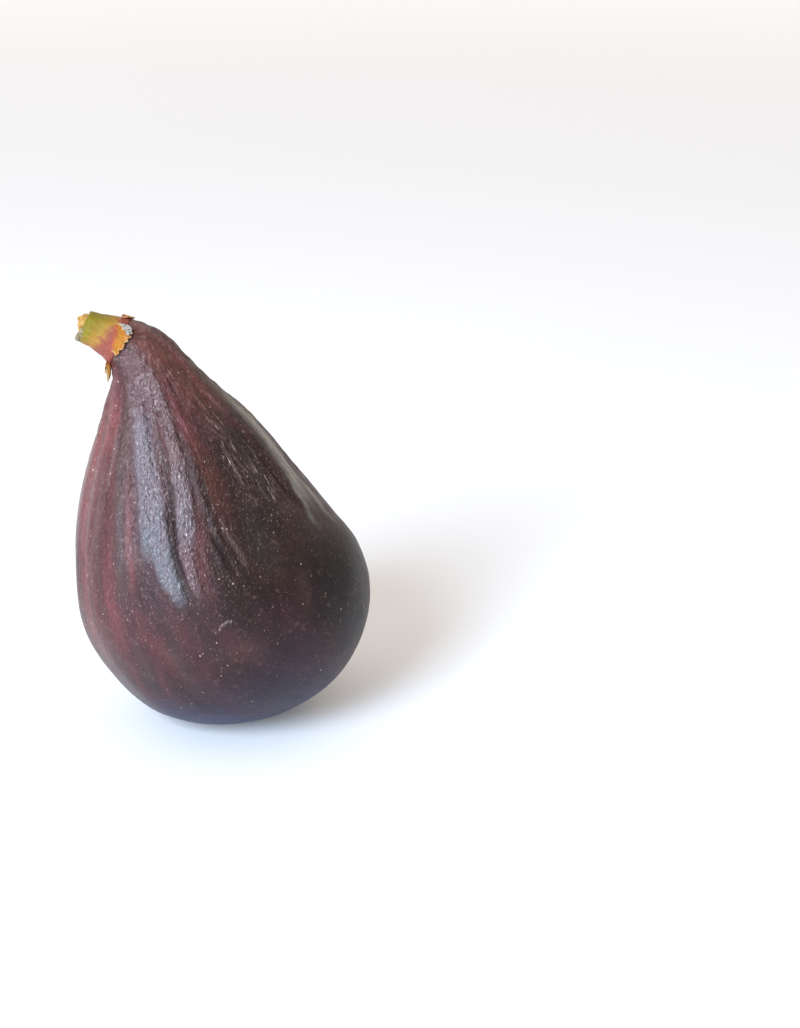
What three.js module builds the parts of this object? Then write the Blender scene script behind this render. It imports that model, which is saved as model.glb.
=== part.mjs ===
// A fresh fig as it is picked: a pear-shaped fruit that rests on its round end and leans a little, its neck
// bent over to the cut stem. Three basal bracts clasp the neck where the stem joins, and a ring of small
// scales closes the eye at the other end. Millimetres, +Z up, +X to the side that the fruit's belly leans to.
import * as THREE from "three";

// ---- driving dimensions ----
const bellyRadius = 23.4; // the widest section of the round lower half
const bellyAlong = 22.0; // its distance from the eye, along the axis
const eye = { x: 17.3, z: 5.3 }; // middle of the eye, low on the side that the fruit leans to
const neckEnd = { x: -15.9, z: 66.8 }; // centre of the joint between neck and stem
const neckRadius = 3.85; // at that joint
const stemLength = 6.5;
const stemTipRadius = 2.65;
const jointGap = 0.3; // left between pieces that touch

const fruitSides = 80;
const smallSides = 28;

// The fruit's axis runs from the eye up through the belly and bends over at the neck.
const axis = new THREE.CatmullRomCurve3(
  [
    new THREE.Vector3(eye.x, 0, eye.z),
    new THREE.Vector3(0.9, 0, 20.3),
    new THREE.Vector3(-5.5, 0, 31.1),
    new THREE.Vector3(-8.8, 0, 49.6),
    new THREE.Vector3(-12.9, 0, 64.2),
    new THREE.Vector3(neckEnd.x, 0, neckEnd.z),
  ],
  false,
  "centripetal",
);
const fruitLength = axis.getLength();

// How far each section across the axis leans, in degrees, at shares of the fruit's length from the eye.
const sectionLean = [
  [0.0, 40],
  [0.32, 36],
  [0.48, 28],
  [0.7, 17],
  [0.89, 24],
  [1.0, 65],
];

// Girth above the belly: radius at shares of the way from the belly to the joint.
const girth = [
  [0.0, bellyRadius],
  [0.2, 22.9],
  [0.4, 19.6],
  [0.6, 14.8],
  [0.8, 8.5],
  [1.0, neckRadius],
];

// The stem goes on from the neck and rises slightly towards its cut end.
const stemDirection = new THREE.Vector3(-0.92, 0, 0.39).normalize();
const stemStart = new THREE.Vector3(neckEnd.x, 0, neckEnd.z);
const stemAxis = new THREE.QuadraticBezierCurve3(
  stemStart,
  stemStart.clone().addScaledVector(sectionNormal(1), 0.35 * stemLength),
  stemStart.clone().addScaledVector(stemDirection, stemLength),
);

// Lengthwise furrows between the ribs. Angles are round the axis: 0 faces -Y, 90 faces +X.
const furrows = [
  { angle: -2, depth: 0.75, width: 7, from: 0.44, to: 0.9 },
  { angle: -34, depth: 0.45, width: 8, from: 0.4, to: 0.92 },
  { angle: -58, depth: 0.3, width: 8, from: 0.3, to: 0.88 },
  { angle: 13, depth: 0.3, width: 7, from: 0.46, to: 0.86 },
  { angle: 36, depth: 0.35, width: 8, from: 0.36, to: 0.84 },
  { angle: 66, depth: 0.6, width: 8, from: 0.42, to: 0.92 },
  { angle: 97, depth: 0.45, width: 9, from: 0.36, to: 0.9 },
  { angle: 128, depth: 0.55, width: 8, from: 0.4, to: 0.93 },
  { angle: 158, depth: 0.4, width: 9, from: 0.34, to: 0.88 },
  { angle: 190, depth: 0.6, width: 8, from: 0.4, to: 0.92 },
  { angle: 221, depth: 0.4, width: 9, from: 0.35, to: 0.9 },
  { angle: 252, depth: 0.5, width: 8, from: 0.38, to: 0.9 },
  { angle: 279, depth: 0.35, width: 8, from: 0.33, to: 0.86 },
];

// ---- shape functions ----

// Smooth cubic through [position, value] pairs.
function smoothThrough(stations, position) {
  const last = stations.length - 1;
  let i = 0;
  while (i < last - 1 && position > stations[i + 1][0]) i++;
  const slope = (k) => {
    const before = stations[Math.max(k - 1, 0)];
    const after = stations[Math.min(k + 1, last)];
    return (after[1] - before[1]) / (after[0] - before[0]);
  };
  const [p0, v0] = stations[i];
  const [p1, v1] = stations[i + 1];
  const span = p1 - p0;
  const t = THREE.MathUtils.clamp((position - p0) / span, 0, 1);
  const m0 = i === 0 ? 0 : slope(i) * span;
  const m1 = slope(i + 1) * span;
  const t2 = t * t;
  const t3 = t2 * t;
  return (
    (2 * t3 - 3 * t2 + 1) * v0 +
    (t3 - 2 * t2 + t) * m0 +
    (3 * t2 - 2 * t3) * v1 +
    (t3 - t2) * m1
  );
}

// Plain radius of the fruit at a distance along its axis from the eye: a round cap below, the girth above.
function plainRadius(along) {
  if (along < bellyAlong) {
    return bellyRadius * Math.sqrt(Math.max(0, 1 - (1 - along / bellyAlong) ** 2));
  }
  return smoothThrough(girth, (along - bellyAlong) / (fruitLength - bellyAlong));
}

// The way a section of the fruit faces, at a share of its length from the eye.
function sectionNormal(share) {
  const lean = THREE.MathUtils.degToRad(smoothThrough(sectionLean, share));
  return new THREE.Vector3(-Math.sin(lean), 0, Math.cos(lean));
}

// How far the skin stands off the plain radius: furrows, and a slow unevenness so that it isn't a turned shape.
function relief(along, angle) {
  const share = along / fruitLength;
  const degrees = THREE.MathUtils.radToDeg(angle);
  let height = 0;
  for (const furrow of furrows) {
    const away = THREE.MathUtils.euclideanModulo(degrees - furrow.angle + 180, 360) - 180;
    const fadeIn = THREE.MathUtils.smoothstep(share, furrow.from, furrow.from + 0.16);
    const fadeOut = 1 - THREE.MathUtils.smoothstep(share, furrow.to - 0.12, furrow.to + 0.05);
    height -= furrow.depth * fadeIn * fadeOut * Math.exp(-((away / furrow.width) ** 2));
  }
  const girthShare = plainRadius(along) / bellyRadius;
  const slow = 0.3 * Math.sin(3 * angle + 1.1) + 0.2 * Math.sin(5 * angle - 0.6);
  return height + slow * girthShare;
}

// The point on a section: at an angle round its centre and a radius from it.
function onSection(centre, normal, angle, radius) {
  const across = new THREE.Vector3(normal.z, 0, -normal.x);
  const front = new THREE.Vector3(0, -1, 0);
  return centre
    .addScaledVector(across, radius * Math.sin(angle))
    .addScaledVector(front, radius * Math.cos(angle));
}

// The point at a distance from the eye along the fruit's axis, an angle round it and a radius from it.
function inFruit(along, angle, radius) {
  const share = THREE.MathUtils.clamp(along / fruitLength, 0, 1);
  const normal = sectionNormal(share);
  const centre = axis.getPointAt(share).addScaledVector(normal, along - share * fruitLength);
  return onSection(centre, normal, angle, radius);
}

// The same along the stem, from its joint.
function inStem(along, angle, radius) {
  const share = THREE.MathUtils.clamp(along / stemLength, 0, 1);
  const tangent = stemAxis.getTangentAt(share);
  const centre = stemAxis.getPointAt(share).addScaledVector(tangent, along - share * stemLength);
  return onSection(centre, tangent, angle, radius);
}

// The point over the skin at a distance from the eye, an angle and a height off the skin.
function onSkin(along, angle, height) {
  const onFruit = Math.min(along, fruitLength);
  return inFruit(along, angle, plainRadius(onFruit) + relief(onFruit, angle) + height);
}

// Moves each point of a turned or boxed geometry to where place(x, y, z) puts it.
function reshape(geometry, place) {
  const position = geometry.getAttribute("position");
  for (let i = 0; i < position.count; i++) {
    const placed = place(position.getX(i), position.getY(i), position.getZ(i));
    position.setXYZ(i, placed.x, placed.y, placed.z);
  }
  geometry.computeVertexNormals();
  return geometry;
}

// ---- materials ----
const skin = new THREE.MeshStandardMaterial({ color: 0x4a2a2c, roughness: 0.42, metalness: 0 });
const stemBark = new THREE.MeshStandardMaterial({ color: 0xb59a3a, roughness: 0.6, metalness: 0 });
const bractTissue = new THREE.MeshStandardMaterial({ color: 0xc98a3a, roughness: 0.7, metalness: 0 });
const eyeTissue = new THREE.MeshStandardMaterial({ color: 0x9a5a30, roughness: 0.75, metalness: 0 });

const fig = new THREE.Group();

function addPiece(name, geometry, material) {
  const mesh = new THREE.Mesh(geometry, material);
  mesh.name = name;
  fig.add(mesh);
  return mesh;
}

// ---- fruit ----
const eyeRadius = 3.3;
const eyeDepth = 1.8;

function makeFruit() {
  const outline = [
    new THREE.Vector2(0, eyeDepth),
    new THREE.Vector2(0.5 * eyeRadius, 0.95 * eyeDepth),
    new THREE.Vector2(0.8 * eyeRadius, 0.55 * eyeDepth),
  ];
  const bellyRings = 20;
  const neckRings = 30;
  const rimAngle = Math.asin(eyeRadius / bellyRadius);
  for (let i = 0; i < bellyRings; i++) {
    const turn = rimAngle + ((Math.PI / 2 - rimAngle) * i) / bellyRings;
    const along = bellyAlong * (1 - Math.cos(turn));
    outline.push(new THREE.Vector2(plainRadius(along), along));
  }
  for (let i = 0; i <= neckRings; i++) {
    const along = bellyAlong + ((fruitLength - bellyAlong) * i) / neckRings;
    outline.push(new THREE.Vector2(plainRadius(along), along));
  }
  outline.push(new THREE.Vector2(0, fruitLength));
  return reshape(new THREE.LatheGeometry(outline, fruitSides), (x, y, z) => {
    const angle = Math.atan2(x, z);
    const radius = Math.hypot(x, z);
    const skinHeight = radius < 0.95 * eyeRadius ? 0 : relief(y, angle);
    const placed = inFruit(y, angle, radius + skinHeight);
    placed.z = Math.max(placed.z, 0); // the soft skin lies flat where it rests
    return placed;
  });
}
addPiece("fruit", makeFruit(), skin);

// ---- stem ----
function makeStem() {
  const woodRadius = 0.62 * stemTipRadius;
  const outline = [
    new THREE.Vector2(0, jointGap),
    new THREE.Vector2(neckRadius - 0.1, jointGap),
    new THREE.Vector2(neckRadius - 0.3, 0.16 * stemLength),
    new THREE.Vector2(3.2, 0.42 * stemLength),
    new THREE.Vector2(2.8, 0.68 * stemLength),
    new THREE.Vector2(stemTipRadius, 0.9 * stemLength),
    new THREE.Vector2(stemTipRadius + 0.05, stemLength),
    new THREE.Vector2(woodRadius, stemLength - 0.15),
    new THREE.Vector2(woodRadius - 0.1, stemLength + 0.6),
    new THREE.Vector2(0.5 * woodRadius, stemLength + 0.9),
    new THREE.Vector2(0, stemLength + 1.0),
  ];
  return reshape(new THREE.LatheGeometry(outline, smallSides), (x, y, z) => {
    return inStem(y, Math.atan2(x, z), Math.hypot(x, z));
  });
}
addPiece("stem", makeStem(), stemBark);

// ---- basal bracts: thin scales that grow from the foot of the stem and lie over the joint ----
const bractThickness = 0.4;
const bracts = [
  { name: "bract_front", angle: 8, width: 6.4, start: 1.0, length: 2.7, tip: 0.3, lift: 0.25 },
  { name: "bract_back", angle: 128, width: 5.6, start: 1.2, length: 1.8, tip: 0.4, lift: 0.05 },
  { name: "bract_under", angle: -98, width: 3.6, start: 0.6, length: 3.6, tip: 0.06, lift: 0.7 },
];

// Each bract starts on the stem side of the joint and tapers over its length towards the fruit.
function makeBract({ angle, width, start, length, tip, lift }) {
  const middle = THREE.MathUtils.degToRad(angle);
  return reshape(new THREE.BoxGeometry(2, 1, 1, 10, 8, 1), (side, y, z) => {
    const reach = 0.5 - y;
    const halfWidth = 0.5 * width * (tip + (1 - tip) * Math.sqrt(1 - 0.98 * reach ** 1.6));
    const along = fruitLength + start - reach * length;
    const around = (side * halfWidth) / (plainRadius(along) + 0.5);
    const thickness = z > 0 ? bractThickness * (1 - 0.4 * reach) : 0;
    return onSkin(along, middle + around, jointGap + lift * reach ** 2 + thickness);
  });
}
for (const bract of bracts) addPiece(bract.name, makeBract(bract), bractTissue);

// ---- eye scales: a ring of small flaps round the eye, tips turned towards its middle ----
const eyeScaleCount = 6;
const eyeScaleThickness = 0.35;
const eyeScaleBase = { radius: 2.45, along: 0.4 };
const eyeScaleTip = { radius: 0.7, along: -0.45 };

function makeEyeScale(index) {
  const middle = ((index + 0.25) * 2 * Math.PI) / eyeScaleCount;
  const halfSweep = (0.78 * Math.PI) / eyeScaleCount;
  return reshape(new THREE.BoxGeometry(2, 1, 1, 5, 6, 1), (side, y, z) => {
    const reach = y + 0.5;
    const radius = THREE.MathUtils.lerp(eyeScaleBase.radius, eyeScaleTip.radius, reach);
    const bulge = 0.35 * Math.sin(Math.PI * reach);
    const along = THREE.MathUtils.lerp(eyeScaleBase.along, eyeScaleTip.along, reach) - bulge;
    const thickness = z > 0 ? 0 : eyeScaleThickness;
    const sweep = halfSweep * (1 - 0.5 * reach ** 1.5) * side;
    return inFruit(along + thickness, middle - sweep, radius);
  });
}
for (let i = 0; i < eyeScaleCount; i++) addPiece(`eye_scale_${i + 1}`, makeEyeScale(i), eyeTissue);

export default fig;
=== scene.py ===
import math
import random

import bmesh
import bpy
import numpy as np
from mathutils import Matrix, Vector, noise


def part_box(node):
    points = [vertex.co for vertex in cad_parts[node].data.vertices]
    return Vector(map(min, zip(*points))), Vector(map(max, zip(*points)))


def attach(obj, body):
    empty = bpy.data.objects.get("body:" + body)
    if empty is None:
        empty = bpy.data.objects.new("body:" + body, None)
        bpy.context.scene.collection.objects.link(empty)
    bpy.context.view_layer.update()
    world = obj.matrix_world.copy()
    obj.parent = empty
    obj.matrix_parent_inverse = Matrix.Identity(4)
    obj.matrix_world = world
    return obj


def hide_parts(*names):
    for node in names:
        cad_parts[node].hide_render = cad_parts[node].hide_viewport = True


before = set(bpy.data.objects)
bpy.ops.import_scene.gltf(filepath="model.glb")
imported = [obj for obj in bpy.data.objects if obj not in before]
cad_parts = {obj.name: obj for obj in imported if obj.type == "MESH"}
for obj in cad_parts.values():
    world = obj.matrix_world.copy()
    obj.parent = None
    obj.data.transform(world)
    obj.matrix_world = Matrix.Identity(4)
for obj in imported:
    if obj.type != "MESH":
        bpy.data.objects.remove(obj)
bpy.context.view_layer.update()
mm = 0.001
mergeWithin = 1e-4  # in mm, closes a spun piece at its two poles

# A fresh fig standing on its round end, with its neck bent over to a short cut stem.
# All is shaped in millimetres, and fitted to the frame once the fruit is made.
# The fruit is shaped along its own axis: along is the distance from the eye, angle goes round
# the axis with 0 facing -Y and 90 facing +X, and share is along as a share of the length.


def smoothStep(start, end, value):
    # smooth 0 to 1 as the value goes from start to end, which may be the lower one
    t = np.clip((value - start) / (end - start), 0, 1)
    return t * t * (3 - 2 * t)


def cubicBlend(t, start, end, leave, arrive):
    # from start to end as t goes from 0 to 1
    return ((2 * t**3 - 3 * t**2 + 1) * start + (t**3 - 2 * t**2 + t) * leave
            + (3 * t**2 - 2 * t**3) * end + (t**3 - t**2) * arrive)


def throughStations(stations, where):
    # smooth cubic through (position, value) pairs, level at the first one
    position, value = np.array(stations, float).T
    slope = np.gradient(value, position)
    slope[1:-1] = (value[2:] - value[:-2]) / (position[2:] - position[:-2])
    slope[0] = 0
    i = np.clip(np.searchsorted(position, where, side="right") - 1, 0, len(position) - 2)
    span = position[i + 1] - position[i]
    t = np.clip((where - position[i]) / span, 0, 1)
    return cubicBlend(t, value[i], value[i + 1], slope[i] * span, slope[i + 1] * span)


def curveThrough(points, perSpan=120):
    # centripetal Catmull-Rom curve, as a dense row of points
    points = np.array(points, float)
    points = np.vstack([2 * points[0] - points[1], points, 2 * points[-1] - points[-2]])
    t = np.linspace(0, 1, perSpan, endpoint=False)[:, None]
    row = []
    for a, b, c, d in zip(points, points[1:], points[2:], points[3:]):
        ab, bc, cd = (np.linalg.norm(q - p) ** 0.5 for p, q in ((a, b), (b, c), (c, d)))
        leave = ((b - a) / ab - (c - a) / (ab + bc) + (c - b) / bc) * bc
        arrive = ((c - b) / bc - (d - b) / (bc + cd) + (d - c) / cd) * bc
        row.append(cubicBlend(t, b, c, leave, arrive))
    return np.vstack(row + [points[-2:-1]])


def softened(values, width):
    # a running mean that keeps both ends where they are
    pad = 2 * width
    before = 2 * values[0] - values[pad:0:-1]
    after = 2 * values[-1] - values[-2:-pad - 2:-1]
    window = np.hanning(2 * width + 3)[1:-1]
    return np.convolve(np.concatenate([before, values, after]), window / window.sum(), "same")[pad:-pad]


def meshCoords(mesh):
    coords = np.empty(len(mesh.vertices) * 3)
    mesh.vertices.foreach_get("co", coords)
    return coords.reshape(-1, 3)


def setCoords(mesh, coords):
    mesh.vertices.foreach_set("co", np.ascontiguousarray(coords).ravel())
    mesh.update()


def paint(mesh, name, values):
    # one number, or one vector, for each vertex, for the materials to read
    values = np.asarray(values, np.float32)
    if values.ndim == 1:
        mesh.attributes.new(name, "FLOAT", "POINT").data.foreach_set("value", values)
    else:
        mesh.attributes.new(name, "FLOAT_VECTOR", "POINT").data.foreach_set("vector", values.ravel())


def grain(coords, size, seed):
    # smooth noise from -1 to 1, with lumps of about the given size
    shift = Vector((seed * 7.31, seed * 3.17, seed * 5.93))
    return np.array([noise.noise(Vector(p) / size + shift) for p in coords])


def finishPiece(bm, name):
    mesh = bpy.data.meshes.new(name)
    bmesh.ops.remove_doubles(bm, verts=bm.verts, dist=mergeWithin)
    bmesh.ops.recalc_face_normals(bm, faces=bm.faces)
    bm.to_mesh(mesh)
    bm.free()
    mesh.polygons.foreach_set("use_smooth", [True] * len(mesh.polygons))
    piece = bpy.data.objects.new(name, mesh)
    bpy.context.scene.collection.objects.link(piece)
    return piece


def spunMesh(outline, sides, name):
    # turns an outline of (radius, height) points about Z into a closed piece
    bm = bmesh.new()
    row = [bm.verts.new((0, -radius, height)) for radius, height in outline]
    edges = [bm.edges.new(pair) for pair in zip(row, row[1:])]
    bmesh.ops.spin(bm, geom=row + edges, cent=(0, 0, 0), axis=(0, 0, 1), angle=2 * math.pi,
                   steps=sides, use_merge=True)
    return finishPiece(bm, name)


def roundPlaces(piece):
    # the points of a piece that still stands straight, with their angle, radius and height
    turned = meshCoords(piece.data)
    return turned, np.arctan2(turned[:, 0], -turned[:, 1]), np.hypot(turned[:, 0], turned[:, 1]), turned[:, 2]


fruitForm = {
    "axis": [(17.3, 5.3), (0.9, 20.3), (-5.5, 31.1), (-8.8, 49.6), (-12.9, 64.2), (-15.9, 66.8)],
    "sectionLean": [(0, 40), (0.32, 36), (0.48, 28), (0.7, 17), (0.89, 24), (1, 65)],  # degrees
    "bellyRadius": 23.4,
    "bellyAlong": 22.0,
    "girth": [(0, 23.4), (0.2, 22.9), (0.4, 19.6), (0.6, 14.8), (0.8, 8.5), (1, 3.85)],
    "roundEnd": (10, 16),  # a plain cap up to the first distance, softened girth beyond the second
    "waves": [(0.3, 3, 1.1), (0.2, 5, -0.6)],  # round the section: height, count, start
    "axisSamples": 800,
    "softening": 22,  # samples on each side
    "sides": 400,
    "capRings": 88,
    "bodyRings": 142,
    "eyeRadius": 3.3,
    "eyeDepth": 1.8,
    # from the middle of the eye's pit to its rim, as shares of the radius and the depth
    "eyePit": [
        (0, 1), (0.21, 1), (0.39, 0.97), (0.55, 0.86), (0.68, 0.68), (0.79, 0.5), (0.88, 0.34), (0.95, 0.2),
    ],
    # broad furrows: angle, depth, half width in degrees, from share, to share; a negative depth swells
    "furrows": [
        (-2, 0.75, 7, 0.44, 0.9), (-34, 0.45, 8, 0.4, 0.92),
        (-58, 0.3, 8, 0.3, 0.88), (13, 0.2, 7, 0.46, 0.86),
        (36, 0.35, 8, 0.36, 0.84), (66, 0.6, 8, 0.42, 0.92),
        (97, 0.45, 9, 0.36, 0.9), (128, 0.55, 8, 0.4, 0.93),
        (158, 0.4, 9, 0.34, 0.88), (190, 0.6, 8, 0.4, 0.92),
        (221, 0.4, 9, 0.35, 0.9), (252, 0.5, 8, 0.38, 0.9),
        (279, 0.12, 8, 0.33, 0.86),
        # broad swellings of the side that the neck leans to
        (-80, -0.50, 30, 0.08, 0.52),
        (-84, -0.62, 34, 0.74, 1.30),
    ],
}


def offAxis(x, z, lean, beyond, angle, radius):
    # a point round an axis that leans at x and z; beyond carries it straight on past the end
    outX = radius * np.sin(angle)
    return np.stack([
        x - beyond * np.sin(lean) + outX * np.cos(lean),
        -radius * np.cos(angle),
        z + beyond * np.cos(lean) + outX * np.sin(lean),
    ], axis=-1)


class FigForm:
    # places points on and round the fruit, from distances along its bent axis
    def __init__(self, plan):
        self.plan = plan
        line = curveThrough(plan["axis"])
        steps = np.linalg.norm(np.diff(line, axis=0), axis=1)
        walked = np.concatenate([[0], np.cumsum(steps)])
        self.length = walked[-1]
        self.along = np.linspace(0, self.length, plan["axisSamples"])
        width = plan["softening"]
        self.x = softened(np.interp(self.along, walked, line[:, 0]), width)
        self.z = softened(np.interp(self.along, walked, line[:, 1]), width)
        lean = throughStations(plan["sectionLean"], self.along / self.length)
        self.lean = softened(np.radians(lean), width)
        upper = (self.along - plan["bellyAlong"]) / (self.length - plan["bellyAlong"])
        plain = np.where(upper < 0, self.capRadius(self.along), throughStations(plan["girth"], upper))
        capEnd, softStart = plan["roundEnd"]
        keep = smoothStep(softStart, capEnd, self.along)
        self.radius = keep * plain + (1 - keep) * softened(plain, width)

    def capRadius(self, along):
        # the round end swells to the belly as a quarter of an ellipse
        near = np.clip(along / self.plan["bellyAlong"], 0, 1)
        return self.plan["bellyRadius"] * np.sqrt(np.clip(1 - (1 - near) ** 2, 0, 1))

    def plainRadius(self, along):
        beyondCap = np.interp(along, self.along, self.radius)
        return np.where(along < self.plan["roundEnd"][0], self.capRadius(along), beyondCap)

    def place(self, along, angle, radius):
        inside = np.clip(along, 0, self.length)
        x, z, lean = (np.interp(inside, self.along, row) for row in (self.x, self.z, self.lean))
        return offAxis(x, z, lean, along - inside, angle, radius)


form = FigForm(fruitForm)
print("fruit axis", round(float(form.length), 1), "mm long")


skinRelief = {
    # narrow creases: angle at the lower end, angle at the upper end, share low, share high, half width
    # and depth in mm; a negative depth is a thin ridge
    "creases": [
        (3.2, 2.2, 0.46, 0.86, 0.95, 0.62), (2.6, 2.0, 0.5, 0.74, 0.35, 0.3),
        (7.0, 9.0, 0.72, 0.88, 0.5, 0.4), (18.5, 17.0, 0.48, 0.8, 0.8, 0.2),
        (25.0, 21.0, 0.43, 0.62, 0.45, 0.2), (31.0, 28.0, 0.44, 0.59, 0.4, -0.22),
        (47.0, 45.0, 0.61, 0.73, 0.3, -0.2), (73.0, 70.0, 0.44, 0.78, 0.7, 0.45),
        (-26.5, -28.0, 0.48, 0.8, 0.6, 0.32), (-18.0, -17.0, 0.54, 0.84, 0.6, 0.3),
        (-40.0, -37.0, 0.7, 0.83, 0.4, -0.12), (-52.0, -50.0, 0.56, 0.8, 0.6, 0.2),
        (112.0, 108.0, 0.46, 0.84, 0.55, 0.3), (143.0, 146.0, 0.5, 0.88, 0.6, 0.45),
        (174.0, 170.0, 0.42, 0.8, 0.5, 0.25), (203.0, 206.0, 0.48, 0.86, 0.55, 0.4),
        (237.0, 233.0, 0.45, 0.82, 0.5, 0.28), (266.0, 268.0, 0.5, 0.86, 0.55, 0.32),
    ],
    # scattered fine ones: low is where they start, long and aside how far they reach and lean over
    "wrinkles": {
        "count": 260, "low": (0.36, 0.93, 0.78), "long": (0.03, 0.16), "deep": (0.03, 0.13),
        "aside": (-4, 4), "wide": (0.22, 0.48),
    },
    # and crossing ones on the shoulder that the neck bends away from
    "shoulder": {
        "count": 26, "angle": (47, 74), "low": (0.50, 0.78), "long": (0.025, 0.07), "deep": 0.14,
        "aside": (-9, 4), "wide": (0.2, 0.32),
    },
    "seed": 11,
    "lumps": [(14.0, 0.30, 1), (5.5, 0.11, 2), (2.4, 0.04, 3)],  # size, height, seed
    "neckLumps": (1.2, 0.21, 4),  # size, height, seed
    "restSoftness": 0.35,
}


def turnFrom(angle, middle):
    # signed degrees from the middle angle, the short way round
    return (np.degrees(angle) - middle + 180) % 360 - 180


def creaseRows(plan):
    rows = list(plan["creases"])
    dice = random.Random(plan["seed"])
    fine = plan["wrinkles"]
    for _ in range(fine["count"]):
        angle = dice.uniform(-180, 180)
        low = dice.triangular(*fine["low"])
        high = low + dice.uniform(*fine["long"])
        depth = dice.uniform(*fine["deep"]) * dice.choice((1, 1, -0.8))
        upperAngle = angle + dice.uniform(*fine["aside"])
        rows.append((angle, upperAngle, low, high, dice.uniform(*fine["wide"]), depth))
    crossing = plan["shoulder"]
    for _ in range(crossing["count"]):
        angle = dice.uniform(*crossing["angle"])
        low = dice.uniform(*crossing["low"])
        high = low + dice.uniform(*crossing["long"])
        depth = dice.choice((crossing["deep"], -crossing["deep"]))
        upperAngle = angle + dice.uniform(*crossing["aside"])
        rows.append((angle, upperAngle, low, high, dice.uniform(*crossing["wide"]), depth))
    return rows


def furrowRelief(angle, share):
    height = np.zeros_like(share)
    for middle, depth, width, low, high in fruitForm["furrows"]:
        fade = smoothStep(low, low + 0.16, share) * smoothStep(high + 0.05, high - 0.12, share)
        height -= depth * fade * np.exp(-(turnFrom(angle, middle) / width) ** 2)
    return height


def creaseRelief(angle, share, radius):
    # the height that the creases add, and how near each point is to the crest of a raised wrinkle
    height = np.zeros_like(share)
    crest = np.zeros_like(share)
    for lowAngle, highAngle, low, high, width, depth in creaseRows(skinRelief):
        rise = (share - low) / (high - low)
        middle = lowAngle + (highAngle - lowAngle) * rise + 0.6 * np.sin(7 * rise + lowAngle)
        aside = np.radians(turnFrom(angle, middle)) * radius
        taper = np.sqrt(np.sin(np.pi * np.clip(rise, 0, 1)).clip(0))
        lip = np.exp(-((np.abs(aside) - 2 * width) / (1.1 * width)) ** 2)
        line = taper * np.exp(-(aside / width) ** 2)
        height += depth * (0.3 * taper * lip - line)
        if depth < -0.1:
            crest = np.maximum(crest, line)
    return height, crest


def skinHeight(along, angle):
    # how far the furrowed skin stands off the plain round form
    sized = form.plainRadius(along) / fruitForm["bellyRadius"]
    slow = sum(high * np.sin(count * angle + start) for high, count, start in fruitForm["waves"])
    return slow * sized + furrowRelief(angle, along / form.length)


def onSkin(along, angle, height):
    held = np.minimum(along, form.length)
    return form.place(along, angle, form.plainRadius(held) + skinHeight(held, angle) + height)


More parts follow.
